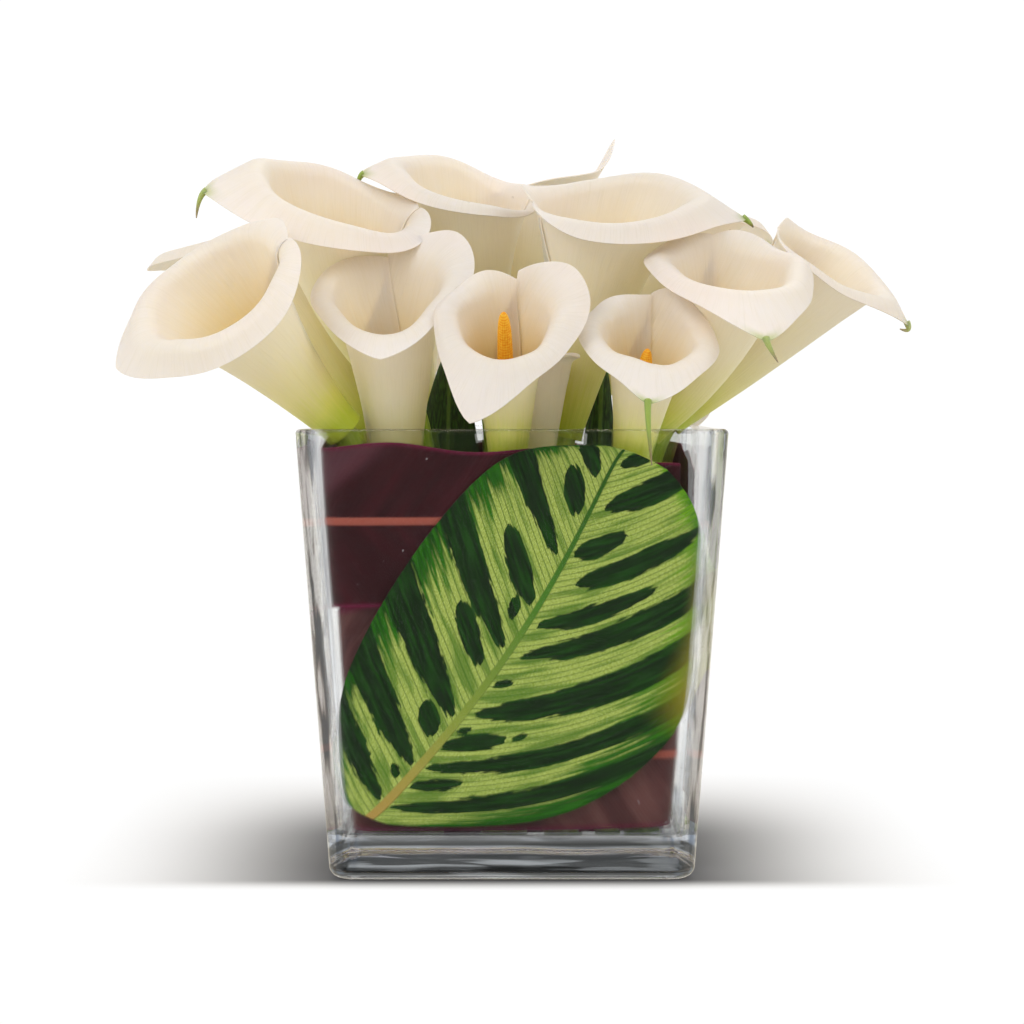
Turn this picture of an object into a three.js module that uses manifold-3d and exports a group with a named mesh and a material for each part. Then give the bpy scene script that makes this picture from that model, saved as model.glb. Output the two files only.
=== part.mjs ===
// White calla lilies in a tapered square glass vase that is lined with leaves.
// Millimetres, +Z up. The origin is the centre of the vase's foot, on the table.
// The front of the arrangement faces -Y.
import * as THREE from "three";
import Module from "manifold-3d";
import { mergeVertices } from "three/addons/utils/BufferGeometryUtils.js";

const wasm = await Module();
wasm.setup();

// ---------- driving dimensions ----------

const VASE = {
  height: 160,
  topHalf: 76, // half of the outer width at the rim
  footHalf: 65, // half of the outer width at the table
  wall: 5,
  floor: 15, // thickness of the heavy glass base
  cornerRadius: 9,
  footRounding: 4,
  rimRounding: 1.5,
};
const STEM_RADIUS = 4.5;
const STEM_FOOT_Z = VASE.floor + 0.6;
const STEM_TOP_BEND = 28; // length over which a stem turns into its head
const SPATHE_THICKNESS = 0.9;
const SPATHE_COLLAR = 4; // how far the spathe's foot reaches down around the stem
const BENDING_SHARE = 1.1; // a head bends evenly over this share of its tube's length
const SPATHE_FOOT_FLARE = 8; // slope of the tube's wall at its foot, in degrees
const LIP_TURN = 11; // length along the lip over which it rolls outwards
const MARGIN_LIP = 0.55; // the lip's width at the margins, as a share of that at the sides
const BEAK_WIDTH = 0.13; // how wide the beak is, as a share of half the spathe
// An ear is a wider stretch of lip beside one margin. at and width are shares of half the
// spathe, and roll is the slope of the ear's edge in degrees.
const EAR = { at: 0.72, width: 0.22, roll: 50 };
const SPIRAL_STEP = 1.9; // distance between the two wrapped margins of a spathe
const FOOT_WRAP = 1.1; // how far each margin wraps at the foot, as a share of half a turn
const FOOT_GAP = 0.5;
const FOOT_RADIUS = STEM_RADIUS + FOOT_GAP + SPATHE_THICKNESS / 2 + (SPIRAL_STEP * FOOT_WRAP) / 2;
const SPADIX = { start: 0.6, radius: 3.2, tipShare: 0.75 };
const LEAF_THICKNESS = 0.8;
const LINING_CORNER = 11; // corner radius of a leaf that lies against the glass
const WATER = { level: 68, clearOfWall: 7.6, clearOfFloor: 0.3, cornerRadius: 8, gap: 0.4 };

// Strap leaves lie level round the wall. from and to are places along it, in millimetres from
// the middle of the front. rib is the midrib's height and slope its rise towards the tip, and
// up and down are the leaf's widths above and below the rib.
const STRAP_LEAVES = {
  dark_leaf_upper: { from: -415, to: 59, rib: 127, slope: 2, up: 28, down: 32, inset: 2.9 },
  dark_leaf_lower: { from: -330, to: 100, rib: 47, slope: -7, up: 52, down: 30, inset: 4.6 },
};
const STRAP = { roundEnd: 0.03, wave: 0.05, waveLength: 9, fold: 0.3, foldLength: 17 };
const PATTERNED_LEAF = {
  base: [-52, 19], // where the midrib starts, as [place along the wall, height]
  tip: [40, 158],
  bow: 8, // how far the midrib bows out
  left: 47, // greatest widths of the two halves
  right: 65,
  inset: 0.8,
  bottom: 17.5, // the leaf is held between these heights by the floor and the rim
  top: 155,
};
const NARROW_LEAF_FOOT_Z = 60;
const NARROW_LEAVES = [
  { centre: [-27, 26], width: 31, lean: 3, top: 186 },
  { centre: [31, 6], width: 16, lean: 3, top: 186 },
];

// The callas. head is where the spathe begins and foot where the stem stands on the floor.
// from and to are the tube's directions at its foot and at its mouth, each as degrees from
// upright and degrees from +X. beakTurn swings the beak round the mouth from its low side.
// tube is the wrapped length, lip the width of the rolled lip, and beak how far its tip goes
// beyond that. The values below are those that a calla has if its own line gives none.
const USUAL_CALLA = {
  slant: 0.04, // how much longer the tube is below the beak than on the average
  dip: 0.04, // how deep the mouth is notched below the beak
  pinch: 0.08, // how far the mouth is drawn out to the beak
  flare: 20, // slope of the tube's wall where the lip begins, in degrees
  roll: [116, 142, 46], // slope of the lip's edge at the beak, the sides and the margins
  ear: 0, // how much wider the lip is beside one margin, where it also stands up
  spadix: 46, // length of the spadix
};
const CALLAS = [
  { head: [-62.5, -54, 162], foot: [-49.5, -38], from: [46, 205], to: [50, 234], beakTurn: -44,
    tube: 69, lip: 17, beak: 3, flare: 21, roll: [116, 142, 100] },
  { head: [-41.5, -45.5, 138], foot: [-29, -44], from: [1, 150], to: [22, -102], beakTurn: 10,
    tube: 74, lip: 10.5, beak: 10, slant: 0, dip: 0.2, pinch: 0.2, flare: 12, ear: 9,
    spadix: 50 },
  { head: [-2, -54.5, 152], foot: [-6, -48], from: [2, -90], to: [57, -92], beakTurn: -14,
    tube: 52, lip: 11, beak: 18, flare: 12.5, ear: 10, spadix: 57 },
  { head: [42, -56.5, 152], foot: [34, -48], from: [11, -16], to: [41, -85], beakTurn: -7,
    tube: 45, lip: 11, beak: 12, dip: 0.08, flare: 16, spadix: 38 },
  { head: [-41.5, -3.6, 174], foot: [-38, -9], from: [41, 190], to: [29, -60], beakTurn: -104,
    tube: 78, lip: 17, beak: 8, slant: 0.1 },
  { head: [-54, 18, 160], foot: [-47, 12], from: [36, 172], to: [26, 178], beakTurn: 0,
    tube: 84, lip: 12, beak: 2, slant: 0.15 },
  { head: [-9, 24.8, 173], foot: [-7, 22], from: [14, 172], to: [24, -76], beakTurn: -95,
    tube: 80, lip: 12, beak: 7, slant: 0.1, flare: 15 },
  { head: [20, -10, 160], foot: [16, -9], from: [12, 8], to: [23, -68], beakTurn: 75, tube: 86,
    lip: 16, beak: 8, slant: 0.1, flare: 18 },
  { head: [51, -35, 162], foot: [45, -31], from: [45, -8], to: [25, -91], beakTurn: 12,
    tube: 66, lip: 13, beak: 17, dip: 0.08, flare: 17 },
  { head: [61.5, 0, 165], foot: [50, 0], from: [50, 2], to: [42, -34], beakTurn: 25, tube: 80,
    lip: 10, beak: 8, slant: 0.06, flare: 12 },
  { head: [24, 50, 164], foot: [21, 45], from: [33, 12], to: [22, 20], beakTurn: 0, tube: 90,
    lip: 11, beak: 8, slant: 0.12, flare: 14 },
  { head: [57.5, 24, 169], foot: [45, 21], from: [38, 8], to: [30, 8], beakTurn: 0, tube: 70,
    lip: 9, beak: 6, slant: 0.16, flare: 11 },
  { head: [53, 55, 148], foot: [46, 50], from: [12, 40], to: [35, 47], beakTurn: 0, tube: 27,
    lip: 9, beak: 5, flare: 16 },
  { head: [-38, 50, 156], foot: [-32, 42], from: [18, 110], to: [56, 110], beakTurn: 0,
    tube: 56, lip: 14, beak: 10 },
  { head: [4, 54.3, 180], foot: [-1, 47.6], from: [5, 90], to: [7, 100], beakTurn: -94,
    tube: 66, lip: 13, beak: 17, slant: 0.1, flare: 21, roll: [24, 80, 40] },
  { head: [6, -34, 138], foot: [1, -28], from: [2, 0], to: [8, -60], beakTurn: 0, tube: 46,
    lip: 5, beak: 4, flare: 7 },
];

// ---------- materials ----------

const finish = (color, roughness, more = {}) =>
  new THREE.MeshStandardMaterial({ color, roughness, metalness: 0, ...more });
const MATERIALS = {
  glass: finish(0xdfe8e6, 0.03, { transparent: true, opacity: 0.35 }),
  water: finish(0xe6f2ef, 0.02, { transparent: true, opacity: 0.35 }),
  spathe: finish(0xf4ead6, 0.45),
  stem: finish(0x8fb02a, 0.4),
  spadix: finish(0xf0a31c, 0.7),
  darkLeaf: finish(0x43202c, 0.35),
  patternedLeaf: finish(0x3f6b2c, 0.4),
  greenLeaf: finish(0x24451a, 0.45),
};

// ---------- geometry helpers ----------

const { degToRad, lerp, smoothstep } = THREE.MathUtils;
const Z = new THREE.Vector3(0, 0, 1);

// A closed mesh from vertices and faces, given as [x, y, z] and [a, b, c] lists.
function meshGeometry(vertices, faces) {
  const geometry = new THREE.BufferGeometry();
  geometry.setAttribute("position", new THREE.Float32BufferAttribute(vertices.flat(), 3));
  geometry.setIndex(faces.flat());
  geometry.computeVertexNormals();
  return geometry;
}

// Rings of equally many points, joined in order and closed by a point at each end.
function loftRings(rings, startPoint, endPoint) {
  const count = rings[0].length;
  const vertices = [...rings.flat(), startPoint, endPoint];
  const start = rings.length * count;
  const faces = [];
  for (let i = 0; i < count; i++) {
    const next = (i + 1) % count;
    faces.push([start, next, i]);
    faces.push([start + 1, start - count + i, start - count + next]);
    for (let ring = 0; ring < rings.length - 1; ring++) {
      const low = ring * count;
      const high = low + count;
      faces.push([low + i, low + next, high + next]);
      faces.push([low + i, high + next, high + i]);
    }
  }
  return meshGeometry(vertices, faces);
}

// A thin closed sheet: pointAt(u, v) is its middle surface over the listed u and v stations,
// and the two faces lie half a thickness to each side of it, joined round the border.
function sheetSolid(pointAt, uStations, vStations, thickness) {
  const step = 1e-3;
  const front = [];
  const back = [];
  for (const u of uStations)
    for (const v of vStations) {
      const p = pointAt(u, v);
      const du = pointAt(u + step, v).sub(pointAt(u - step, v));
      const dv = pointAt(u, v + step).sub(pointAt(u, v - step));
      const n = du.cross(dv).setLength(thickness / 2);
      front.push(p.clone().add(n).toArray());
      back.push(p.clone().sub(n).toArray());
    }
  const rows = uStations.length;
  const columns = vStations.length;
  const behind = rows * columns;
  const faces = [];
  for (let i = 0; i < rows - 1; i++)
    for (let j = 0; j < columns - 1; j++) {
      const a = i * columns + j;
      const [b, c, d] = [a + columns, a + columns + 1, a + 1];
      faces.push([a, b, c], [a, c, d]);
      faces.push([behind + a, behind + c, behind + b], [behind + a, behind + d, behind + c]);
    }
  const border = [];
  for (let i = 0; i < rows - 1; i++) border.push(i * columns);
  for (let j = 0; j < columns - 1; j++) border.push((rows - 1) * columns + j);
  for (let i = rows - 1; i > 0; i--) border.push(i * columns + columns - 1);
  for (let j = columns - 1; j > 0; j--) border.push(j);
  border.forEach((a, k) => {
    const b = border[(k + 1) % border.length];
    faces.push([a, behind + b, b], [a, behind + a, behind + b]);
  });
  return meshGeometry([...front, ...back], faces);
}

// Numbers from 0 to 1 in equal steps.
const evenly = (steps) => Array.from({ length: steps + 1 }, (_, i) => i / steps);

// ---------- the vase ----------

const outerHalf = (z) => lerp(VASE.footHalf, VASE.topHalf, z / VASE.height);
const innerHalf = (z) => outerHalf(z) - VASE.wall;

// A square with round corners, as points at height z, anticlockwise seen from above.
function roundedSquare(half, radius, z, cornerSteps = 5) {
  const points = [];
  for (let corner = 0; corner < 4; corner++)
    for (let i = 0; i <= cornerSteps; i++) {
      const angle = (corner + i / cornerSteps) * (Math.PI / 2);
      const side = (corner + 0.5) * (Math.PI / 2);
      const centre = (half - radius) * Math.SQRT2;
      points.push([
        centre * Math.cos(side) + radius * Math.cos(angle),
        centre * Math.sin(side) + radius * Math.sin(angle),
        z,
      ]);
    }
  return points;
}

function vaseGeometry() {
  const { height, floor, cornerRadius, footRounding, rimRounding, wall } = VASE;
  const rings = [];
  const outer = (z, inset) => rings.push(roundedSquare(outerHalf(z) - inset, cornerRadius - inset, z));
  for (const turn of [0, 30, 60, 90]) {
    const angle = degToRad(turn);
    outer(footRounding * (1 - Math.sin(Math.PI / 2 - angle)), footRounding * (1 - Math.sin(angle)));
  }
  outer(height - rimRounding, 0);
  outer(height, rimRounding);
  const innerCorner = cornerRadius - wall;
  const fillet = innerCorner * 0.375;
  outer(height, wall - rimRounding);
  rings.push(roundedSquare(innerHalf(height - rimRounding), innerCorner, height - rimRounding));
  rings.push(roundedSquare(innerHalf(floor + fillet), innerCorner, floor + fillet));
  rings.push(roundedSquare(innerHalf(floor) - fillet, innerCorner - fillet, floor));
  return loftRings(rings, [0, 0, 0], [0, 0, floor]);
}

// ---------- leaves that line the wall ----------

// The point that lies `along` millimetres round the inside of the wall, from the middle of
// the front towards +X, at height z and `inset` in from the glass.
function wallPoint(along, z, inset) {
  const half = innerHalf(z) - inset;
  const radius = LINING_CORNER - inset;
  const straight = 2 * (half - radius);
  const bend = (Math.PI / 2) * radius;
  const period = straight + bend;
  const from = along + straight / 2;
  const side = Math.floor(from / period);
  const rest = from - side * period;
  const turn = new THREE.Vector3(0, 0, 1);
  const point = new THREE.Vector3(Math.min(rest, straight) - straight / 2, -half, z);
  if (rest > straight) {
    const angle = (rest - straight) / radius;
    point.x += radius * Math.sin(angle);
    point.y += radius * (1 - Math.cos(angle));
  }
  return point.applyAxisAngle(turn, (side * Math.PI) / 2);
}

// A strap leaf has round ends, a waving upper margin and shallow folds.
function strapLeaf({ from, to, rib, slope, up, down, inset }) {
  const { roundEnd, wave, waveLength, fold, foldLength } = STRAP;
  const pointAt = (u, v) => {
    const along = lerp(from, to, u);
    const width = Math.pow(Math.sin(Math.PI * lerp(roundEnd, 1 - roundEnd, u)), 0.15);
    const waving = 1 + wave * Math.sin(along / waveLength);
    const across = v * width * (v > 0 ? up * waving : down);
    const folded = fold * Math.sin(along / foldLength) * v;
    return wallPoint(along, rib + slope * (u - 0.5) + across, inset + folded);
  };
  return sheetSolid(pointAt, evenly(44), [-1, -0.5, 0, 0.5, 1], LEAF_THICKNESS);
}

// The value held between two limits, and eased over a few millimetres as it nears them.
function softBetween(value, low, high) {
  const ease = 4;
  const capped = high - ease * Math.log1p(Math.exp((high - value) / ease));
  return low + ease * Math.log1p(Math.exp((capped - low) / ease));
}

// A broad leaf, round at its base and pointed at its tip, with one half wider than the other.
function broadLeaf({ base, tip, bow, left, right, inset, bottom, top }) {
  const rib = new THREE.Vector2(tip[0] - base[0], tip[1] - base[1]);
  const length = rib.length();
  const direction = rib.clone().normalize();
  const pointAt = (u, v) => {
    const share = lerp(0.012, 0.988, u);
    const leftWidth = left * Math.sqrt(4 * share * (1 - share));
    const rightWidth = right * 2.05 * Math.pow(share, 0.6) * Math.pow(1 - share, 0.45);
    const across = bow * Math.sin(Math.PI * share) + v * (v < 0 ? leftWidth : rightWidth);
    const along = base[0] + direction.x * length * share + direction.y * across;
    const rise = base[1] + direction.y * length * share - direction.x * across;
    return wallPoint(along, softBetween(rise, bottom, top), inset);
  };
  const across = evenly(12).map((share) => 2 * share - 1);
  return sheetSolid(pointAt, evenly(20), across, LEAF_THICKNESS);
}

// A narrow upright leaf among the stems: centre is its foot in plan, and it tapers to its top.
// The gap makes it larger all round, for the room that it takes in the water.
function narrowLeaf({ centre, width, lean, top }, gap = 0) {
  const pointAt = (u, v) => {
    const half = (width / 2) * Math.sin(Math.PI * (0.2 + 0.77 * u)) ** 0.7 + gap;
    const z = lerp(NARROW_LEAF_FOOT_Z - gap, top, u);
    return new THREE.Vector3(centre[0] + v * half + lean * u, centre[1] + 2 * v * v, z);
  };
  return sheetSolid(pointAt, evenly(8), [-1, 0, 1], LEAF_THICKNESS + 2 * gap);
}

// ---------- a calla ----------

// A direction that leans from upright towards an angle from +X, both in degrees.
function leaning(lean, turn) {
  const flat = Math.sin(degToRad(lean));
  return new THREE.Vector3(
    flat * Math.cos(degToRad(turn)),
    flat * Math.sin(degToRad(turn)),
    Math.cos(degToRad(lean)),
  );
}

// Where a calla's head points: its own frame has +Z along the foot of the tube and +X on the
// side it bends to. bend is the whole angle it turns, and beak the beak's angle round it.
function headPose(calla) {
  const start = leaning(...calla.from);
  const end = leaning(...calla.to);
  const bend = start.angleTo(end);
  const binormal = start.clone().cross(end).normalize();
  const basis = new THREE.Matrix4().makeBasis(binormal.clone().cross(start), binormal, start);
  const outward = binormal.clone().cross(end);
  const low = end.clone().multiplyScalar(end.z).sub(Z).normalize();
  const beak = Math.atan2(low.dot(binormal), low.dot(outward)) + degToRad(calla.beakTurn);
  return { basis, bend, beak };
}

// The point at distance a along the tube, radius r from its middle line, angle theta round
// it from the beak's side. The middle line bends evenly up to the mouth.
function aroundTube(calla, a, r, theta) {
  const { bend, beak } = calla.pose;
  const length = calla.tube * BENDING_SHARE;
  const turned = (bend * THREE.MathUtils.clamp(a, 0, length)) / length;
  const radius = length / bend;
  const straight = a < 0 ? a : Math.max(a - length, 0);
  const out = r * Math.cos(theta + beak);
  return new THREE.Vector3(
    radius * (1 - Math.cos(turned)) + straight * Math.sin(turned) + out * Math.cos(turned),
    r * Math.sin(theta + beak),
    radius * Math.sin(turned) + straight * Math.cos(turned) - out * Math.sin(turned),
  );
}

// The spathe is one leaf wrapped into a funnel. w runs from margin to margin, 0 at the beak,
// and q from the foot to the rim. Its profile leaves the stem almost upright, opens along the
// tube, and then rolls outwards at the lip. The pinch draws the mouth to a corner at the beak.
function spathePoint(calla, w, q) {
  const side = Math.abs(w);
  const dip = calla.dip * Math.exp(-((w / 0.35) ** 2));
  const tube = calla.tube * (1 + calla.slant * Math.cos(Math.PI * w) - dip);
  const lipWidth = calla.lip * (1 - (1 - MARGIN_LIP) * side ** 4);
  const atEar = Math.exp(-(((w - EAR.at) / EAR.width) ** 2));
  const lip = lipWidth + calla.beak * Math.exp(-((w / BEAK_WIDTH) ** 2)) + calla.ear * atEar;
  const [beakRoll, sideRoll, marginRoll] = calla.roll;
  const toSide = smoothstep(side, 0, 0.38);
  const toMargin = smoothstep(side, 0.6, 1);
  const usualRoll = lerp(lerp(beakRoll, sideRoll, toSide), marginRoll, toMargin);
  const roll = degToRad(lerp(usualRoll, EAR.roll, atEar * Math.min(1, calla.ear / 10)));
  const [narrow, wide] = [degToRad(SPATHE_FOOT_FLARE), degToRad(calla.flare)];
  const slopeAt = (s) => {
    if (s < 0) return 0;
    if (s < tube) return lerp(narrow, wide, s / tube);
    return lerp(wide, roll, Math.min(1, (s - tube) / LIP_TURN));
  };
  const reach = (SPATHE_COLLAR + tube + lip) * q;
  const steps = 24;
  let a = -SPATHE_COLLAR;
  let r = FOOT_RADIUS;
  for (let i = 0; i < steps; i++) {
    const slope = slopeAt(((i + 0.5) / steps) * reach - SPATHE_COLLAR);
    a += (reach / steps) * Math.cos(slope);
    r += (reach / steps) * Math.sin(slope);
  }
  const open = smoothstep(reach, 0.5 * tube, SPATHE_COLLAR + tube + lip);
  const theta = w * Math.PI * lerp(FOOT_WRAP, 1, open);
  r *= 1 + calla.pinch * open * Math.max(0, 1 - 2 * side) ** 2;
  r += (SPIRAL_STEP * theta) / (2 * Math.PI);
  return aroundTube(calla, a, r, theta);
}

function spatheGeometry(calla) {
  const around = [0, 0.1, 0.24, 0.42, 0.6, 0.8, 1];
  const wStations = [...around.slice(1).map((w) => -w).reverse(), ...around];
  const qStations = [0, 0.22, 0.44, 0.62, 0.76, 0.85, 0.93, 1];
  return sheetSolid((w, q) => spathePoint(calla, w, q), wStations, qStations, SPATHE_THICKNESS);
}

function spadixGeometry(calla) {
  const { start, radius } = SPADIX;
  const length = calla.spadix;
  const rings = [];
  for (const share of [0, 0.3, 0.6, 0.85, 0.97]) {
    const taper = radius * lerp(1, SPADIX.tipShare, share) * Math.sqrt(1 - share ** 8);
    const ring = [];
    for (let i = 0; i < 8; i++) {
      const point = aroundTube(calla, start + share * length, taper, (i * Math.PI) / 4);
      ring.push(point.toArray());
    }
    rings.push(ring);
  }
  const end = (a) => aroundTube(calla, a, 0, 0).toArray();
  return loftRings(rings, end(start), end(start + length));
}

// The stem's own line, from the cut end on the vase's floor to the head.
function stemCurve(calla, footZ = STEM_FOOT_Z) {
  const head = new THREE.Vector3(...calla.head);
  const foot = new THREE.Vector3(...calla.foot, footZ);
  const reach = (head.z - foot.z) / 3;
  const along = leaning(...calla.from);
  return new THREE.CubicBezierCurve3(
    foot,
    foot.clone().add(new THREE.Vector3(0, 0, reach)),
    head.clone().addScaledVector(along, -STEM_TOP_BEND),
    head,
  );
}

function tubeGeometry(curve, radius, sides, steps) {
  const section = new THREE.Shape();
  for (let i = 0; i < sides; i++) {
    const angle = (i * 2 * Math.PI) / sides;
    const [x, y] = [radius * Math.cos(angle), radius * Math.sin(angle)];
    if (i) section.lineTo(x, y);
    else section.moveTo(x, y);
  }
  section.closePath();
  return new THREE.ExtrudeGeometry(section, { steps, extrudePath: curve, bevelEnabled: false });
}

const stemGeometry = (calla) => tubeGeometry(stemCurve(calla), STEM_RADIUS, 8, 8);

const callas = CALLAS.map((calla) => ({ ...USUAL_CALLA, ...calla, pose: headPose(calla) }));

// ---------- the water ----------

function solidOf(geometry) {
  const bare = geometry.clone();
  bare.deleteAttribute("normal");
  bare.deleteAttribute("uv");
  const merged = mergeVertices(bare, 1e-4);
  return new wasm.Manifold(
    new wasm.Mesh({
      numProp: 3,
      vertProperties: merged.getAttribute("position").array,
      triVerts: new Uint32Array(merged.index.array),
    }),
  );
}

function geometryOf(solid) {
  const mesh = solid.getMesh();
  const geometry = new THREE.BufferGeometry();
  geometry.setAttribute("position", new THREE.BufferAttribute(mesh.vertProperties, 3));
  geometry.setIndex(new THREE.BufferAttribute(mesh.triVerts, 1));
  geometry.computeVertexNormals();
  return geometry;
}

// The water stands inside the leaf lining, and the stems pass through it.
function waterGeometry() {
  const low = VASE.floor + WATER.clearOfFloor;
  const ring = (z) => roundedSquare(innerHalf(z) - WATER.clearOfWall, WATER.cornerRadius, z, 3);
  let water = solidOf(loftRings([ring(low), ring(WATER.level)], [0, 0, low], [0, 0, WATER.level]));
  for (const calla of callas) {
    const hole = tubeGeometry(stemCurve(calla, low - 1), STEM_RADIUS + WATER.gap, 8, 8);
    water = water.subtract(solidOf(hole));
  }
  for (const leaf of NARROW_LEAVES) {
    water = water.subtract(solidOf(narrowLeaf(leaf, WATER.gap)));
  }
  return geometryOf(water);
}

// ---------- the arrangement ----------

const arrangement = new THREE.Group();

function addPiece(parent, name, geometry, material) {
  const mesh = new THREE.Mesh(geometry, material);
  mesh.name = name;
  parent.add(mesh);
}

addPiece(arrangement, "glass_vase", vaseGeometry(), MATERIALS.glass);
addPiece(arrangement, "water", waterGeometry(), MATERIALS.water);
for (const [name, leaf] of Object.entries(STRAP_LEAVES)) {
  addPiece(arrangement, name, strapLeaf(leaf), MATERIALS.darkLeaf);
}
addPiece(arrangement, "patterned_leaf_front", broadLeaf(PATTERNED_LEAF), MATERIALS.patternedLeaf);
addPiece(arrangement, "narrow_leaf_left", narrowLeaf(NARROW_LEAVES[0]), MATERIALS.greenLeaf);
addPiece(arrangement, "narrow_leaf_right", narrowLeaf(NARROW_LEAVES[1]), MATERIALS.greenLeaf);

callas.forEach((calla, i) => {
  const label = "calla_" + String(i + 1).padStart(2, "0");
  addPiece(arrangement, label + "_stem", stemGeometry(calla), MATERIALS.stem);
  const head = new THREE.Group();
  head.position.set(...calla.head);
  head.quaternion.setFromRotationMatrix(calla.pose.basis);
  addPiece(head, label + "_spathe", spatheGeometry(calla), MATERIALS.spathe);
  addPiece(head, label + "_spadix", spadixGeometry(calla), MATERIALS.spadix);
  arrangement.add(head);
});

export default arrangement;
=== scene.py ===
from math import pi, radians
import bpy
import numpy as np
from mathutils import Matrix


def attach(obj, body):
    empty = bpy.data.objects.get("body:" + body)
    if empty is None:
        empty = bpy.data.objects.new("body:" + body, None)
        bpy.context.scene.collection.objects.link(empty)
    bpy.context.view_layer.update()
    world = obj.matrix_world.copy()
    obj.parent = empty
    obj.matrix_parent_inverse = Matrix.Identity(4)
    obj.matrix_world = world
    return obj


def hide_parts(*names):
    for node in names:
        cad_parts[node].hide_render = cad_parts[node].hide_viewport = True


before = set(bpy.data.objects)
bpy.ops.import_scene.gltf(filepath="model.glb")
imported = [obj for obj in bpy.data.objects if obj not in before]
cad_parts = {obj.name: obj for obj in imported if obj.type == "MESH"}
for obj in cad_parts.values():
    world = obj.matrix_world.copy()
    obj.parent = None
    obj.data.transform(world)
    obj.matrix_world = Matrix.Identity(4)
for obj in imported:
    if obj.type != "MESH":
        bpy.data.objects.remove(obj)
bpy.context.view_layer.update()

# White calla lilies in a square glass vase that is lined with leaves. The frame is in metres;
# shapes are worked out in millimetres, as the flowers and the vase are measured.
scene = bpy.context.scene
mm = 0.001
seeded = np.random.default_rng(16)


# ---- arrays and meshes

def lerp(a, b, t):
    return a + (b - a) * t


# 0 below low, 1 above high, and an even S between them
def eased(x, low, high):
    t = np.clip((x - low) / (high - low), 0, 1)
    return t * t * (3 - 2 * t)


def unit(v):
    return v / np.linalg.norm(v, axis=-1, keepdims=True)


# quads between neighbouring rows and columns of a grid of vertex numbers
def gridQuads(index):
    quads = [index[:-1, :-1], index[1:, :-1], index[1:, 1:], index[:-1, 1:]]
    return np.stack(quads, -1).reshape(-1, 4)


# A closed sheet: the middle surface (rows x columns x 3) moved half its thickness along the
# normal to each side, with the border joined. marks are values given on the same grid;
# "inner" is 0 on the side that the normal points to and 1 on the other.
def closedSheet(points, thickness, flow, marks):
    rows, columns = points.shape[:2]
    normal = unit(np.cross(np.gradient(points, axis=0), np.gradient(points, axis=1)))
    offset = normal * (np.broadcast_to(thickness, (rows, columns)) / 2)[..., None]
    index = np.arange(rows * columns).reshape(rows, columns)
    front = gridQuads(index)
    back = front[:, ::-1] + index.size
    border = [index[:-1, 0], index[-1, :-1], index[:0:-1, -1], index[0, :0:-1]]
    edge = np.concatenate(border)
    after = np.roll(edge, -1)
    rim = np.stack([edge, edge + index.size, after + index.size, after], -1)
    both = {name: np.tile(np.broadcast_to(v, (rows, columns)).ravel(), 2) for name, v in marks.items()}
    both["inner"] = np.repeat([0.0, 1.0], index.size)
    return {
        "points": np.concatenate([(points + offset).reshape(-1, 3), (points - offset).reshape(-1, 3)]),
        "faces": np.concatenate([front, back, rim]).tolist(),
        "flow": np.tile(flow.reshape(-1, 2), (2, 1)),
        "marks": both,
    }


# Rings of equally many points joined in order and closed by a point at each end.
# flow is (around, along), each from 0 to 1.
def loft(rings, startPoint, endPoint, marks):
    count, sides = rings.shape[:2]
    index = np.arange(count * sides).reshape(count, sides)
    wrapped = np.concatenate([index, index[:, :1]], 1)
    walls = gridQuads(wrapped)[:, ::-1]
    start, end = index.size, index.size + 1
    fan = [[start, b, a] for a, b in zip(wrapped[0, :-1], wrapped[0, 1:])]
    fan += [[end, a, b] for a, b in zip(wrapped[-1, :-1], wrapped[-1, 1:])]
    around, along = np.meshgrid(np.linspace(0, 1, sides), np.linspace(0, 1, count))
    flow = np.concatenate([np.stack([around, along], -1).reshape(-1, 2), [[0.5, 0], [0.5, 1]]])
    spread = {}
    for name, v in marks.items():
        grid = np.broadcast_to(v, (count, sides))
        spread[name] = np.concatenate([grid.ravel(), [grid[0, 0], grid[-1, 0]]])
    return {
        "points": np.concatenate([rings.reshape(-1, 3), [startPoint, endPoint]]),
        "faces": walls.tolist() + fan,
        "flow": flow,
        "marks": spread,
    }


# A tube: at each point of the path a circle of the given radius across the path's direction.
def tubeAlong(path, radius, sides, marks):
    ahead = unit(np.gradient(path, axis=0))
    spare = np.eye(3)[np.argmin(np.abs(ahead.mean(axis=0)))]
    across = unit(np.cross(ahead, spare))
    other = np.cross(ahead, across)
    angle = np.arange(sides) * 2 * pi / sides
    circle = across[:, None] * np.cos(angle)[:, None] + other[:, None] * np.sin(angle)[:, None]
    radius = np.broadcast_to(np.reshape(radius, (len(path), -1)), (len(path), sides))
    rings = path[:, None] + circle * radius[..., None]
    return loft(rings, path[0], path[-1], marks)


# several shapes as one mesh; a mark that a shape lacks is 0 on it
def joined(shapes):
    starts = np.cumsum([0] + [len(s["points"]) for s in shapes])
    names = {name for s in shapes for name in s["marks"]}
    faces = []
    for shape, start in zip(shapes, starts):
        faces += [[v + int(start) for v in face] for face in shape["faces"]]
    return {
        "points": np.concatenate([s["points"] for s in shapes]),
        "faces": faces,
        "flow": np.concatenate([s["flow"] for s in shapes]),
        "marks": {
            name: np.concatenate([s["marks"].get(name, np.zeros(len(s["points"]))) for s in shapes])
            for name in sorted(names)
        },
    }


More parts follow.
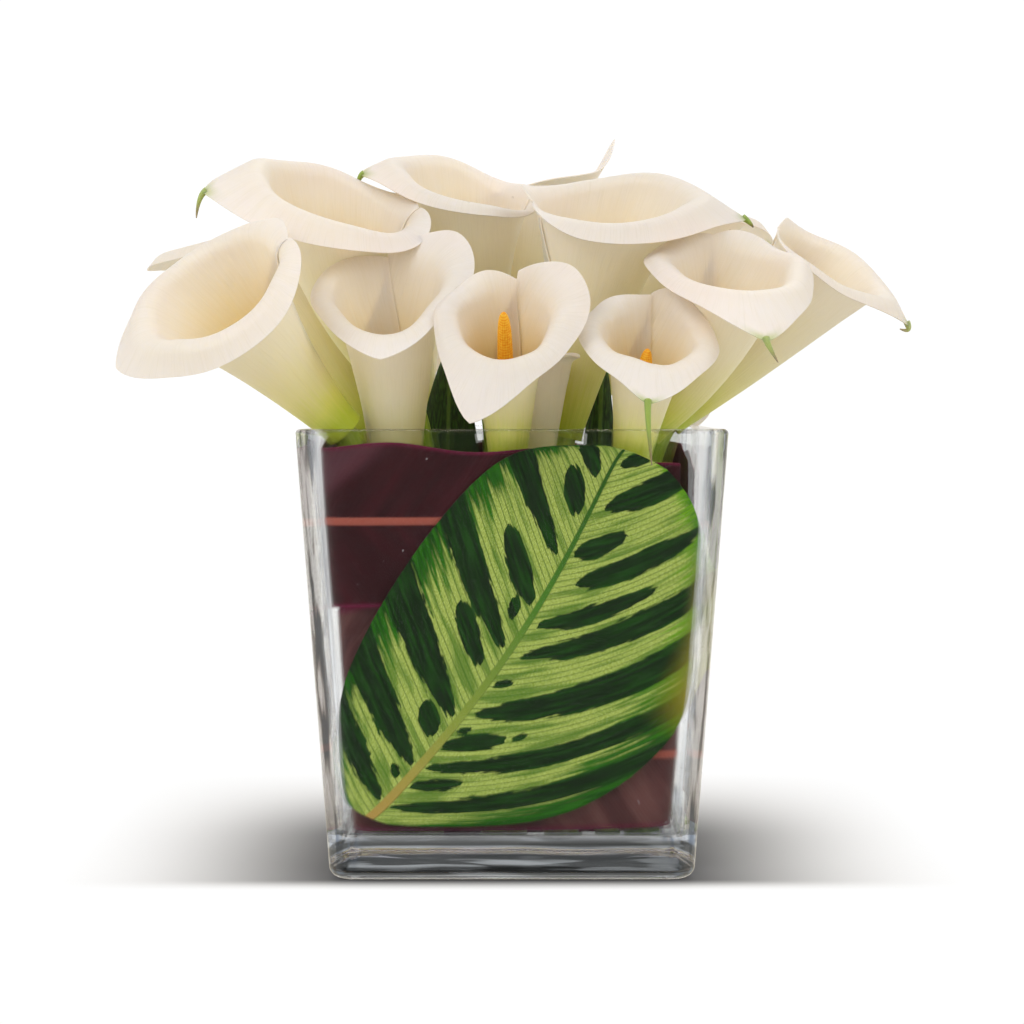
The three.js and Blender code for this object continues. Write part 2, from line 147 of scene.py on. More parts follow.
# puts a shape, given in millimetres, into the scene as a piece that stands for a node
def addPiece(name, shape, material, node, sharpAngle=50):
    mesh = bpy.data.meshes.new(name)
    mesh.from_pydata(shape["points"] * mm, [], shape["faces"])
    corner = np.empty(len(mesh.loops), dtype=np.int32)
    mesh.loops.foreach_get("vertex_index", corner)
    uv = mesh.uv_layers.new(name="flow")
    uv.data.foreach_set("uv", shape["flow"][corner].ravel().astype(np.float32))
    for mark, values in shape["marks"].items():
        kept = mesh.attributes.new(mark, "FLOAT", "POINT")
        kept.data.foreach_set("value", values.astype(np.float32))
    mesh.shade_smooth()
    mesh.set_sharp_from_angle(angle=radians(sharpAngle))
    mesh.materials.append(material)
    piece = bpy.data.objects.new(name, mesh)
    scene.collection.objects.link(piece)
    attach(piece, "root")
    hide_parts(node)
    return piece


# ---- finishes

# A socket in a finish's node tree, so that shader maths is written as an expression.
class Flow:
    def __init__(self, tree, socket):
        self.tree = tree
        self.socket = socket

    def math(self, operation, *values):
        node = self.tree.nodes.new("ShaderNodeMath")
        node.operation = operation
        for socket, value in zip(node.inputs, values):
            if isinstance(value, Flow):
                self.tree.links.new(value.socket, socket)
            else:
                socket.default_value = value
        return Flow(self.tree, node.outputs[0])

    def __add__(self, other):
        return self.math("ADD", self, other)

    def __sub__(self, other):
        return self.math("SUBTRACT", self, other)

    def __rsub__(self, other):
        return self.math("SUBTRACT", other, self)

    def __mul__(self, other):
        return self.math("MULTIPLY", self, other)

    def __truediv__(self, other):
        return self.math("DIVIDE", self, other)

    def __pow__(self, other):
        return self.math("POWER", self, other)

    def __abs__(self):
        return self.math("ABSOLUTE", self)

    __radd__ = __add__
    __rmul__ = __mul__

    def sine(self):
        return self.math("SINE", self)

    def fraction(self):
        return self.math("FRACT", self)

    def most(self, other):
        return self.math("MAXIMUM", self, other)

    def least(self, other):
        return self.math("MINIMUM", self, other)


# One material, or the world, with its nodes. node() adds any other node: settings first, then
# its sockets, named or numbered, as values or as links.
class Finish:
    def __init__(self, name, world=None):
        self.owner = world or bpy.data.materials.new(name)
        self.owner.use_nodes = True
        self.tree = self.owner.node_tree
        self.tree.nodes.clear()

    def node(self, kind, settings={}, sockets={}, output=0):
        node = self.tree.nodes.new("ShaderNode" + kind)
        for key, value in settings.items():
            if key == "stops":
                ramp = node.color_ramp
                for place, colour in value[1:-1]:
                    ramp.elements.new(place).color = colour
                for element, (place, colour) in zip(ramp.elements, value):
                    element.position = place
                    element.color = colour
            else:
                setattr(node, key, value)
        for key, value in sockets.items():
            if isinstance(value, Flow):
                self.tree.links.new(value.socket, node.inputs[key])
            else:
                node.inputs[key].default_value = value
        return Flow(self.tree, node.outputs[output])

    def place(self):
        return self.node("TexCoord", output="Object")

    def flow(self):
        return self.node("UVMap", {"uv_map": "flow"})

    def parts(self, vector):
        split = self.node("SeparateXYZ", {}, {0: vector}).socket.node
        return [Flow(self.tree, out) for out in split.outputs]

    def mark(self, name):
        return self.node("Attribute", {"attribute_name": name}, output="Fac")

    def vector(self, x, y, z):
        return self.node("CombineXYZ", {}, {0: x, 1: y, 2: z})

    def noise(self, vector, scale, detail=2.0, roughness=0.5):
        return self.node("TexNoise", {}, {"Vector": vector, "Scale": scale, "Detail": detail,
                                          "Roughness": roughness})

    def eased(self, value, low, high):
        return self.node("MapRange", {"interpolation_type": "SMOOTHSTEP"},
                         {"Value": value, "From Min": low, "From Max": high})

    def mix(self, share, a, b, blend="MIX"):
        return self.node("Mix", {"data_type": "RGBA", "blend_type": blend}, {0: share, 6: a, 7: b}, 2)

    def ramp(self, value, stops):
        return self.node("ValToRGB", {"stops": stops}, {0: value})

    def bump(self, height, distance, strength=1.0):
        return self.node("Bump", {}, {"Height": height, "Distance": distance, "Strength": strength})

    def surface(self, sockets, shader="BsdfPrincipled"):
        return self.node(shader, {}, sockets)

    def done(self, shader, kind="Material"):
        out = self.tree.nodes.new("ShaderNodeOutput" + kind)
        self.tree.links.new(shader.socket, out.inputs["Surface"])
        return self.owner


# a colour as it looks on a screen, from 0 to 1, turned into the light that the shader needs
def tint(red, green, blue):
    shown = np.array([red, green, blue])
    light = np.where(shown <= 0.04045, shown / 12.92, ((shown + 0.055) / 1.055) ** 2.4)
    return (*light.tolist(), 1.0)


# ---- the vase

vase = {
    "height": 160,
    "topHalf": 76,
    "footHalf": 65,
    "wall": 5,
    "floor": 15,
    "corner": 9,
    "footRounding": 4,
    "rimRounding": 1.8,
    "floorRounding": 3,
    "cornerSteps": 12,
    "bending": 0.32,  # share of the light that the flat walls bend and mirror
    # for the finish, in metres up from the table, and as shares of the wall's half width; the low band and
    # the thin line are painted shade in the foot
    "cornerFade": (0.86, 0.95),
    "footFade": (0.012, 0.020),
    "paintedShadeBand": 0.0035,
    "paintedShadeLine": 0.0138,
    "waveHeight": 0.0004,
}
water = {"level": 68, "clearOfWall": 7.6, "clearOfFloor": 0.3, "corner": 8, "meniscus": 2.2}


def outerHalf(z):
    return lerp(vase["footHalf"], vase["topHalf"], z / vase["height"])


def innerHalf(z):
    return outerHalf(z) - vase["wall"]


# a square with round corners at height z, anticlockwise from above: four arcs whose middles
# stand in from the corners by the radius
def roundedSquare(half, radius, z):
    steps = vase["cornerSteps"]
    k = np.arange(4 * (steps + 1))
    corner, i = k // (steps + 1), k % (steps + 1)
    angle = (corner + i / steps) * pi / 2
    diagonal = (corner + 0.5) * pi / 2
    centre = (half - radius) * 2 ** 0.5
    x = centre * np.cos(diagonal) + radius * np.cos(angle)
    y = centre * np.sin(diagonal) + radius * np.sin(angle)
    return np.stack([x, y, np.full_like(x, z)], -1)


# The vase's wall as rings from the foot's middle out over the rim and down to the floor inside.
# A quarter circle rounds the foot, a half circle the rim, and a quarter circle the floor inside.
def vaseShape():
    height, wall, floor, corner = (vase[key] for key in ("height", "wall", "floor", "corner"))
    foot, rim, inside = vase["footRounding"], vase["rimRounding"], vase["floorRounding"]
    rings = []
    for turn in np.linspace(0, pi / 2, 8):
        inset = foot * (1 - np.sin(turn))
        z = foot * (1 - np.cos(turn))
        rings.append(roundedSquare(outerHalf(z) - inset, corner - inset, z))
    for z in np.linspace(foot, height - rim, 9)[1:]:
        rings.append(roundedSquare(outerHalf(z), corner, z))
    for turn in np.linspace(0, pi / 2, 6)[1:]:
        inset = rim * (1 - np.cos(turn))
        z = height - rim * (1 - np.sin(turn))
        rings.append(roundedSquare(outerHalf(z) - inset, corner - inset, z))
    for turn in np.linspace(pi / 2, 0, 6):
        inset = wall - rim * (1 - np.cos(turn))
        z = height - rim * (1 - np.sin(turn))
        rings.append(roundedSquare(outerHalf(z) - inset, corner - inset, z))
    for z in np.linspace(height - rim, floor + inside, 9)[1:]:
        rings.append(roundedSquare(innerHalf(z), corner - wall, z))
    for turn in np.linspace(0, pi / 2, 6)[1:]:
        inset = inside * (1 - np.cos(turn))
        z = floor + inside * (1 - np.sin(turn))
        rings.append(roundedSquare(innerHalf(z) - inset, corner - wall - 0.8 * inset, z))
    return loft(np.array(rings), [0, 0, 0], [0, 0, floor], {})


# clear glass: light from the lamps passes straight through it, so that what it holds is lit
def clearFinish(finish, colour, sockets):
    own = {"Base Color": colour, "Roughness": 0.0, "Transmission Weight": 1.0, **sockets}
    glass = finish.surface(own)
    clear = finish.node("BsdfTransparent", {}, {"Color": (0.97, 0.98, 0.98, 1.0)})
    shadow = finish.node("LightPath", output="Is Shadow Ray")
    return finish.done(finish.node("MixShader", {}, {0: shadow, 1: glass, 2: clear}))


# The vase's glass: a blue-grey foot that bends the light fully, its tint partly the glass's own and
# partly painted shade, with level bands of noise, a low dark band and a thin dark line painted in as
# shade; and walls that let part of the light straight through, more so on the flats than in the
# corners, where upright streaks of noise paint dark reflections. The corner share comes from the smaller of
# |x| and |y| over the wall's half width.
def vaseFinish():
    finish = Finish("clearGlass")
    place = finish.place()
    x, y, z = finish.parts(place)
    half = z * ((vase["topHalf"] - vase["footHalf"]) / vase["height"]) + vase["footHalf"] * mm
    corner = finish.eased(abs(x).least(abs(y)) / half, *vase["cornerFade"])
    foot = 1 - finish.eased(z, *vase["footFade"])
    # painted reflections: upright streaks of noise that darken the glass in the corners
    upright = finish.vector(x * 3.0, y * 3.0, z * 0.22)
    streaks = finish.eased(finish.noise(upright, 95.0, 2.0), 0.42, 0.62)
    dark = corner * streaks
    # painted shade in the foot: a low dark band, a thin dark line and level bands of noise
    paintedShadeBand = 1 - finish.eased(abs(z - vase["paintedShadeBand"]), 0.0010, 0.0022)
    paintedShadeLine = 1 - finish.eased(abs(z - vase["paintedShadeLine"]), 0.0004, 0.0012)
    level = finish.vector(x * 0.4, y * 0.4, z * 7.0)
    paintedFootShade = finish.eased(finish.noise(level, 55.0, 1.0), 0.44, 0.6)
    paintedFootShade = (paintedFootShade * 0.5 + paintedShadeBand * 0.75 + paintedShadeLine * 0.7).least(1.0)
    footTintAndShade = finish.mix(paintedFootShade, tint(0.76, 0.79, 0.83), tint(0.17, 0.18, 0.19))
    colour = finish.mix(foot, tint(0.96, 0.98, 0.99), footTintAndShade)
    colour = finish.mix(dark, colour, tint(0.27, 0.32, 0.39))
    bent = vase["bending"] + corner * 0.40 + dark * 0.35
    waves = finish.noise(place, 28.0, 1.0)
    return clearFinish(finish, colour, {
        "IOR": 1.5,
        "Alpha": bent.most(foot).least(1.0),
        "Normal": finish.bump(waves, vase["waveHeight"]),
    })


addPiece("vaseGlass", vaseShape(), vaseFinish(), "glass_vase", 35)


# The water's body: rounded squares a little inside the leaf lining, with the surface drawn up
# at its edge. Its height there falls off with the square of the distance from the edge.
def waterShape():
    low = vase["floor"] + water["clearOfFloor"]
    level = water["level"]
    half = innerHalf(level) - water["clearOfWall"]
    rings = [roundedSquare(innerHalf(z) - water["clearOfWall"], water["corner"], z)
             for z in np.linspace(low, level - 0.2, 6)]
    for inset in (0.0, 0.8, 1.8, 3.2, 5.0, 7.0):
        rise = -water["meniscus"] * (1 - (1 - min(1, inset / 5)) ** 2)
        rings.append(roundedSquare(half - inset, max(water["corner"] - inset, 1.0), level + rise))
    return loft(np.array(rings), [0, 0, low], [0, 0, level - water["meniscus"]], {})


waterFinish = clearFinish(Finish("stillWater"), tint(0.97, 0.985, 0.98), {"IOR": 1.333})
addPiece("vaseWater", waterShape(), waterFinish, "water", 60)
print("vase and water made")


# ---- the leaves that line the glass

lining = {"corner": 11, "thickness": 0.8}


# The point that lies along millimetres round the inside of the wall from the middle of the
# front, at height z and inset in from the glass: straight runs joined by quarter circles.
def wallPoint(along, z, inset):
    half = innerHalf(z) - inset
    radius = lining["corner"] - inset
    straight = 2 * (half - radius)
    period = straight + pi / 2 * radius
    distance = along + straight / 2
    side = np.floor(distance / period)
    rest = distance - side * period
    angle = np.clip((rest - straight) / radius, 0, None)
    x = np.minimum(rest, straight) - straight / 2 + radius * np.sin(angle)
    y = -half + radius * (1 - np.cos(angle))
    turn = side * pi / 2
    return np.stack([x * np.cos(turn) - y * np.sin(turn), x * np.sin(turn) + y * np.cos(turn), z], -1)


strapLeaves = {
    "dark_leaf_upper": {"piece": "burgundyLeafUpper", "from": -415, "to": 59, "rib": 127, "slope": 2,
                        "up": 28, "down": 32, "inset": 2.9, "brown": 0.0},
    "dark_leaf_lower": {"piece": "burgundyLeafLower", "from": -330, "to": 100, "rib": 47, "slope": -7,
                        "up": 52, "down": 30, "inset": 4.6, "brown": 1.0},
}
strap = {"roundEnd": 0.03, "endPower": 0.15, "wave": 0.05, "waveLength": 9, "fold": 0.3,
         "foldLength": 17, "ribWidth": 1.5, "ribHeight": 0.35}


# A strap leaf along the wall: its width is the sine of its length raised to a low power, so it
# is even with round ends. Its upper margin waves, and it lies in shallow folds.
def strapShape(leaf):
    u = np.linspace(0, 1, 420)[:, None]
    v = np.linspace(-1, 1, 61)[None, :]
    along = lerp(leaf["from"], leaf["to"], u) + 0 * v
    width = np.sin(pi * lerp(strap["roundEnd"], 1 - strap["roundEnd"], u)) ** strap["endPower"]
    waving = 1 + strap["wave"] * np.sin(along / strap["waveLength"])
    across = v * width * np.where(v > 0, leaf["up"] * waving, leaf["down"])
    fold = strap["fold"] * np.sin(along / strap["foldLength"]) * v
    rib = strap["ribHeight"] * np.exp(-(across / strap["ribWidth"]) ** 2)
    z = leaf["rib"] + leaf["slope"] * (u - 0.5) + across
    points = wallPoint(along, z, leaf["inset"] + fold - rib)
    flow = np.stack([along / 100, across / 100], -1)
    marks = {"toMargin": np.abs(v), "brown": leaf["brown"] + 0 * along}
    return closedSheet(points, lining["thickness"] * lerp(1, 0.5, np.abs(v) ** 4), flow, marks)


# Burgundy leaf: dark wine red, paler where noise stretched along the side veins is high, with a
# painted sheen that turns it greyer and lighter in broad patches; brown on the lower leaf, where its
# mark is 1; a pink-brown midrib from the distance across; a magenta margin; fine side veins in the
# bump; and tiny light drops where a point of a cell pattern and a patch of noise meet.
def burgundyFinish():
    finish = Finish("burgundyLeaf")
    along, across, _ = finish.parts(finish.flow())
    veins = along - abs(across) * 0.7
    stretched = finish.vector(veins, across * 0.25, 0.0)
    patches = finish.eased(finish.noise(stretched, 9.0, 3.0), 0.38, 0.75)
    broad = finish.vector(veins * 0.8, across * 0.5, 3.0)
    paintedSheen = finish.eased(finish.noise(broad, 3.2, 1.0), 0.5, 0.75)
    body = finish.mix(patches, tint(0.18, 0.02, 0.05), tint(0.26, 0.06, 0.10))
    # painted highlight: broad patches of sheen lightened into the leaf's colour
    body = finish.mix(paintedSheen * 0.5, body, tint(0.45, 0.28, 0.33))
    brown = finish.mix(patches, tint(0.30, 0.17, 0.17), tint(0.42, 0.27, 0.26))
    body = finish.mix(finish.mark("brown"), body, brown)
    margin = finish.eased(finish.mark("toMargin"), 0.93, 1.0)
    body = finish.mix(margin * 0.8, body, tint(0.44, 0.08, 0.24))
    rib = 1 - finish.eased(abs(across), 0.009, 0.017)
    body = finish.mix(rib, body, tint(0.63, 0.33, 0.28))
    place = finish.place()
    drop = finish.node("TexVoronoi", {"feature": "F1"}, {"Vector": place, "Scale": 210.0})
    chance = finish.noise(place, 75.0, 0.0)
    drops = (1 - finish.eased(drop, 0.06, 0.11)) * finish.eased(chance, 0.58, 0.62)
    body = finish.mix(drops * 0.55, body, tint(0.78, 0.74, 0.76))
    height = (veins * 420.0).sine() * 0.35 + finish.noise(stretched, 60.0, 2.0) + rib * 1.5
    shader = finish.surface({
        "Base Color": body,
        "Roughness": 0.36 + patches * 0.12,
        "Specular IOR Level": 0.2,
        "Normal": finish.bump(height, 0.0001),
    })
    return finish.done(shader)


burgundy = burgundyFinish()
for node, leaf in strapLeaves.items():
    addPiece(leaf["piece"], strapShape(leaf), burgundy, node)

patterned = {
    "base": (-52, 19),
    "tip": (40, 158),
    "bow": 8,
    "left": 47,
    "right": 65,
    "rightPowers": (0.6, 0.45),  # of the share of the length from the base and from the tip
    "inset": 0.8,
    "bottom": 17.5,
    "top": 155,
    "ripple": 0.16,
    # dark blotches on each half: where the band meets the rib, where it starts and ends out
    # from the rib, and its half width, all in millimetres; 90 runs right out to the margin
    "leftBlotches": [(148, 3, 17, 5.5), (134, 2.5, 14, 6), (116, 3, 90, 7), (98, 2, 24, 5.5),
                     (89, 4.5, 9.5, 3.6), (79, 2, 90, 7), (68, 5, 25, 4.6), (49, 2, 90, 7.5),
                     (40, 3, 14, 4.6), (26.5, 2, 90, 6.6), (20, 3, 8, 2), (10, 2, 90, 5.6)],
    "rightBlotches": [(156, 2, 13, 4.6), (138, 4, 34, 6.5), (121, 1.5, 16, 4.8), (107, 7, 40, 5.6),
                      (91, 3, 34, 4.4), (78, 4, 90, 6.5), (66, 2, 8, 2), (53, 3, 90, 7.6),
                      (45, 2, 6, 1.6), (39, 1, 18, 4.2), (40, 19, 23, 1.4), (28, 2, 90, 5),
                      (20, 2, 16, 3.2), (9, 2, 90, 5)],
}


# a value held between two limits and eased over 4 mm as it nears them
def softBetween(value, low, high):
    capped = high - 4 * np.log1p(np.exp((high - value) / 4))
    return low + 4 * np.log1p(np.exp((capped - low) / 4))


# How far inside the nearest blotch a place on the half leaf is: each blotch is a lens about
# one vein, as wide as a power of s(1 - s), where s goes from its start to its end.
def blotchDepth(vein, out, blotches):
    depth = np.full(np.shape(vein), -9.0)
    for at, start, end, half in blotches:
        s = np.clip((out - start) / (end - start), 0, 1)
        width = half * (4 * s * (1 - s)) ** 0.55
        depth = np.maximum(depth, np.where(s * (1 - s) > 0, width - np.abs(vein - at), -9.0))
    return depth


# The broad leaf: a bowed midrib, with half widths that are powers of the distance from base
# and tip. Each side vein leaves the rib at a slant and bends towards the tip.
def patternedShape():
    leaf = patterned
    l = lerp(0.012, 0.988, np.linspace(0, 1, 250))[:, None]
    v = np.linspace(-1, 1, 151)[None, :]
    rib = np.subtract(leaf["tip"], leaf["base"])
    length = np.hypot(*rib)
    dx, dz = rib / length
    leftWidth = leaf["left"] * np.sqrt(4 * l * (1 - l))
    fromBase, fromTip = leaf["rightPowers"]
    rightWidth = leaf["right"] * 2.05 * l ** fromBase * (1 - l) ** fromTip
    out = np.where(v < 0, -v * leftWidth, v * rightWidth)
    across = leaf["bow"] * np.sin(pi * l) + np.sign(v) * out
    leftSlant = 0.85 * out * lerp(0.55, 1.05, l)
    rightSlant = (0.9 * out + 0.006 * out ** 2) * lerp(0.65, 1.08, l)
    vein = l * length - np.where(v < 0, leftSlant, rightSlant)
    ripple = leaf["ripple"] * np.sin(vein * 2 * pi / 22) * np.abs(v)
    along = leaf["base"][0] + dx * length * l + dz * across
    z = softBetween(leaf["base"][1] + dz * length * l - dx * across, leaf["bottom"], leaf["top"])
    points = wallPoint(along, z, leaf["inset"] + ripple)
    depth = np.where(v < 0, blotchDepth(vein, out, leaf["leftBlotches"]),
                     blotchDepth(vein, out, leaf["rightBlotches"]))
    marks = {
        "depth": depth,
        "toMargin": np.abs(v) + 0 * l,
        "alongRib": l + 0 * v,
        "rightHalf": eased(v, -0.02, 0.02) + 0 * l,
        "fromRib": out / lerp(1.9, 0.6, l),
    }
    flow = np.stack([vein / 100, out / 100], -1)
    return closedSheet(points, lining["thickness"] * lerp(1, 0.5, np.abs(v) ** 4), flow, marks)


# Patterned leaf: pale green ground ruled with fine dark veins and washed with green, dark green
# where the depth in a blotch is above zero, a green margin that eats into the ground in streaks
# along the veins and yellows on one side, and a midrib that goes from tan at the base to green at
# the tip. Its back, where the mark inner is 1, is duller and more purple.
def patternedFinish():
    finish = Finish("patternedLeaf")
    vein, out, _ = finish.parts(finish.flow())
    toMargin = finish.mark("toMargin")
    alongRib = finish.mark("alongRib")
    streaks = finish.noise(finish.vector(vein, out * 0.12, 0.0), 62.0, 3.0)
    ragged = finish.noise(finish.vector(vein * 1.4, out * 0.5, 0.0), 70.0, 2.0) - 0.5
    grain = finish.noise(finish.vector(vein, out, 0.0), 190.0, 3.0, 0.65)
    line = abs((vein / 0.0245 + (streaks - 0.5) * 0.3).fraction() - 0.5)
    veinLine = 1 - finish.eased(line, 0.05, 0.13)
    pale = finish.mix(finish.eased(grain, 0.35, 0.7), tint(0.56, 0.64, 0.24), tint(0.77, 0.83, 0.47))
    pale = finish.mix(veinLine * 0.6, pale, tint(0.18, 0.33, 0.08))
    wash = finish.noise(finish.vector(vein, out * 0.22, 7.0), 24.0, 2.0)
    pale = finish.mix(finish.eased(wash, 0.45, 0.66) * 0.7, pale, tint(0.24, 0.44, 0.06))
    green = finish.mix(finish.eased(streaks, 0.35, 0.65), tint(0.05, 0.24, 0.01), tint(0.15, 0.42, 0.02))
    fresh = finish.mix(finish.eased(streaks, 0.3, 0.7), tint(0.20, 0.46, 0.03), tint(0.45, 0.66, 0.10))
    border = finish.eased(toMargin + (streaks - 0.5) * 0.9, 0.66, 0.88)
    young = finish.mark("rightHalf") * finish.eased(alongRib, 0.45, 0.8)
    body = finish.mix(border, pale, finish.mix(young, green, fresh))
    dark = finish.mix(finish.eased(streaks, 0.4, 0.7), tint(0.03, 0.14, 0.01), tint(0.08, 0.27, 0.02))
    inBlotch = finish.eased(finish.mark("depth") + ragged * 2.4 + (streaks - 0.5) * 5.0, -0.3, 0.35)
    body = finish.mix(inBlotch, body, dark)
    yellow = finish.mark("rightHalf") * finish.eased(toMargin, 0.74, 1.0)
    yellow = yellow * finish.eased(alongRib, 0.5, 0.62) * (1 - finish.eased(alongRib, 0.82, 0.9))
    body = finish.mix(yellow * 0.85, body, tint(0.62, 0.58, 0.12))
    ribColour = finish.ramp(alongRib, [(0.0, tint(0.72, 0.58, 0.30)), (0.3, tint(0.55, 0.62, 0.25)),
                                       (0.6, tint(0.30, 0.50, 0.15)), (1.0, tint(0.13, 0.30, 0.08))])
    onRib = 1 - finish.eased(finish.mark("fromRib"), 0.75, 1.1)
    body = finish.mix(onRib, body, ribColour)
    behind = finish.mix(0.6, body, tint(0.30, 0.14, 0.18))
    body = finish.mix(finish.mark("inner"), behind, body)
    height = grain * 0.6 + veinLine * -0.8 + onRib * 3.0 + streaks
    shader = finish.surface({
        "Base Color": body,
        "Roughness": 0.36 + inBlotch * 0.08,
        "Specular IOR Level": 0.2,
        "Normal": finish.bump(height, 0.0001),
    })
    return finish.done(shader)


addPiece("patternedLeafFront", patternedShape(), patternedFinish(), "patterned_leaf_front")

narrowLeaves = {
    "narrow_leaf_left": {"piece": "narrowLeafLeft", "centre": (-27, 26), "width": 31, "lean": 3,
                         "bottom": 60, "top": 186},
    "narrow_leaf_right": {"piece": "narrowLeafRight", "centre": (31, 6), "width": 16, "lean": 3,
                          "bottom": 60, "top": 186},
}


# a narrow leaf: as wide as a power of the sine of its height, a little hollow across
def narrowShape(leaf):
    u = np.linspace(0, 1, 90)[:, None]
    v = np.linspace(-1, 1, 25)[None, :]
    half = leaf["width"] / 2 * np.sin(pi * (0.2 + 0.77 * u)) ** 0.7
    x = leaf["centre"][0] + v * half + leaf["lean"] * u
    y = leaf["centre"][1] + 2 * v * v + 0 * u
    points = np.stack([x, y, lerp(leaf["bottom"], leaf["top"], u) + 0 * v], -1)
    flow = np.stack([u + 0 * v, v * half / 100], -1)
    return closedSheet(points, lining["thickness"] * lerp(1, 0.5, np.abs(v) ** 4), flow, {})


# narrow leaf: dark green, paler along fine lengthwise lines and on the midrib
def narrowFinish():
    finish = Finish("narrowLeaf")
    along, across, _ = finish.parts(finish.flow())
    lines = finish.noise(finish.vector(along * 0.2, across, 0.0), 160.0, 2.0)
    body = finish.mix(finish.eased(lines, 0.35, 0.7), tint(0.09, 0.20, 0.06), tint(0.20, 0.36, 0.10))
    rib = 1 - finish.eased(abs(across), 0.004, 0.010)
    body = finish.mix(rib * 0.6, body, tint(0.42, 0.55, 0.22))
    shader = finish.surface({"Base Color": body, "Roughness": 0.38 + lines * 0.1,
                             "Normal": finish.bump(lines + rib, 0.0003)})
    return finish.done(shader)


narrowGreen = narrowFinish()
for node, leaf in narrowLeaves.items():
    addPiece(leaf["piece"], narrowShape(leaf), narrowGreen, node)
print("leaves made")


# ---- the callas

# What every calla has unless its own line says otherwise. Lengths are in millimetres, slopes in
# degrees. head and foot are the ends of the stalk. from and to are the directions of the tube at
# its foot and at its mouth, as (lean, turn). tail is the thread at the beak's tip: its length, how
# far it bends down and sideways, and how green it is.
usualCalla = {
    "slant": 0.04,  # how much longer the tube is below the beak than on the average
    "dip": 0.04,  # how deep the mouth is notched below the beak
    "pinch": 0.08,  # how far the mouth is drawn out to the beak
    "flare": 20,  # slope of the tube's wall where the lip begins
    "roll": (116, 142, 46),  # slope of the lip's edge at the beak, the sides and the margins
    "ear": 0,  # how much wider the lip is beside one margin, where it also stands up
    "spadix": 46,
    "ruffle": 0.7,
    "tail": (9, 0.5, 0.2, 1.0),
    "hook": 0.35,  # how far the tail turns back towards the tube
    "wrap": 1.25,  # how far the second margin reaches round, in half turns
}
spathe = {
    "thickness": 0.9,
    "edge": 0.45,
    "collar": 4,
    "footFlare": 8,
    "lipTurn": 10,
    "marginLip": 0.55,
    "beakWidth": 0.13,
    "dipWidth": 0.35,
    "spiral": 1.9,
    "mouthSpiral": 0.48,  # what is left of the spiral towards the mouth
    "footWrap": 1.1,
    "bendingShare": 1.1,
    "rows": 84,
    "columns": 105,
    "steps": 300,
}
stalk = {"radius": 4.5, "footZ": 15.6, "topBend": 28}
ear = {"at": 0.72, "width": 0.22, "roll": 50}
spadix = {"start": 0.6, "radius": 3.2, "tipShare": 0.75}
footRadius = stalk["radius"] + 0.5 + spathe["thickness"] / 2 + spathe["spiral"] * spathe["footWrap"] / 2

